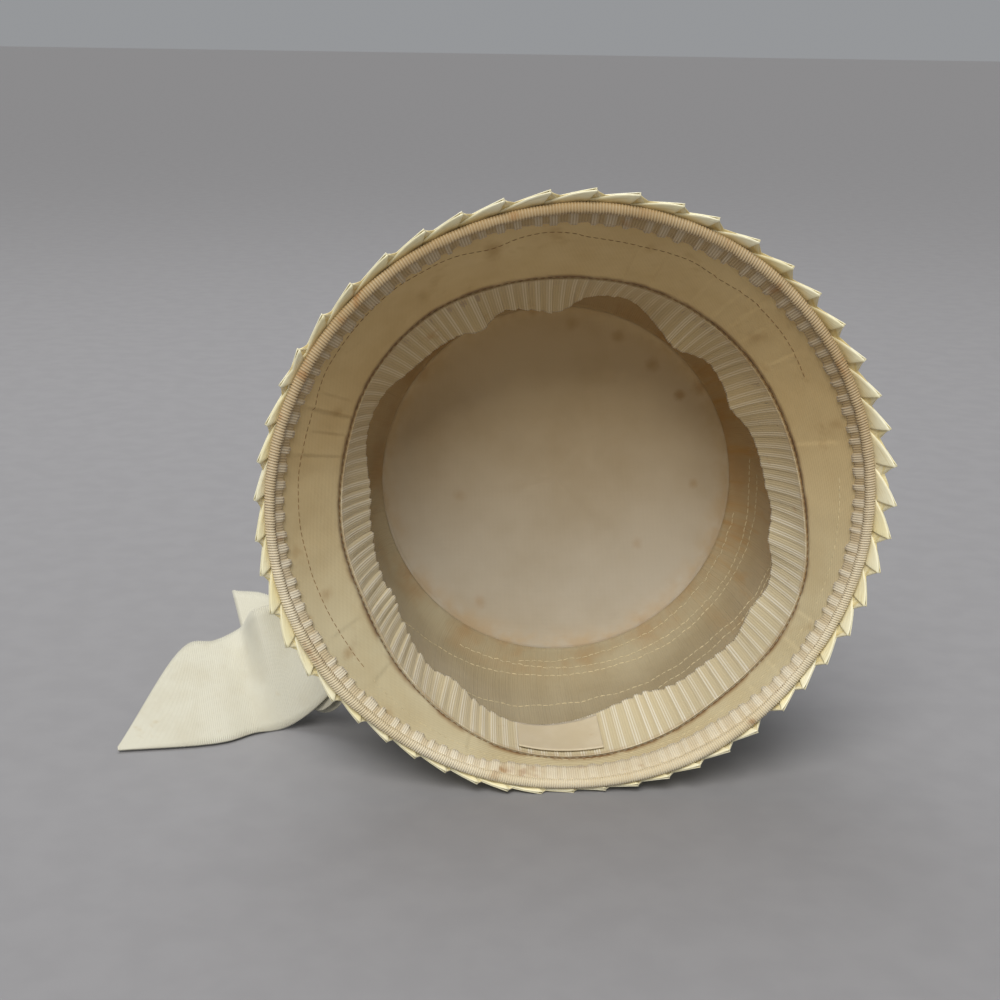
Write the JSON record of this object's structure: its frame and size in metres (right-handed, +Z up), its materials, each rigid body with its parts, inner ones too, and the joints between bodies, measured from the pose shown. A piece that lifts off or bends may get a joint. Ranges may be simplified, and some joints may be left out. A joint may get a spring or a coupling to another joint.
{
  "type": "straw pillbox hat",
  "caption": "Straw hat with a domed crown, a short flared brim edged in ribbon, a cloth lining and a hat ribbon with a loose tail, lying on its back with its opening forward.",
  "frame": {"origin": "on the surface it lies on, under the middle of the bounding box", "axes": "+X to the wearer's left, +Y from the opening towards the tip of the crown, +Z up"},
  "size_m": [0.2868, 0.1268, 0.2256],
  "materials": {
    "straw": "glossy folded straw braid, ivory",
    "ribbon": "ribbed grosgrain ribbon, aged ivory",
    "lining": "plain woven cloth, matt, aged beige",
    "facing": "twill and net cloth, matt, beige",
    "label": "bare woven cloth, matt"
  },
  "bodies": {
    "root": {"crown_lining": "lining", "tip_lining": "lining", "brim_facing": "facing", "edge_binding": "ribbon", "sweatband": "ribbon", "label": "label", "straw_row_1": "straw", "straw_row_2": "straw", "straw_row_3": "straw", "straw_row_4": "straw", "straw_row_5": "straw", "straw_row_6": "straw", "straw_row_7": "straw", "straw_row_8": "straw", "tip_button": "straw", "ribbon_band": "ribbon", "ribbon_knot": "ribbon", "ribbon_loop": "ribbon", "ribbon_tail": "ribbon"}
  },
  "joints": []
}
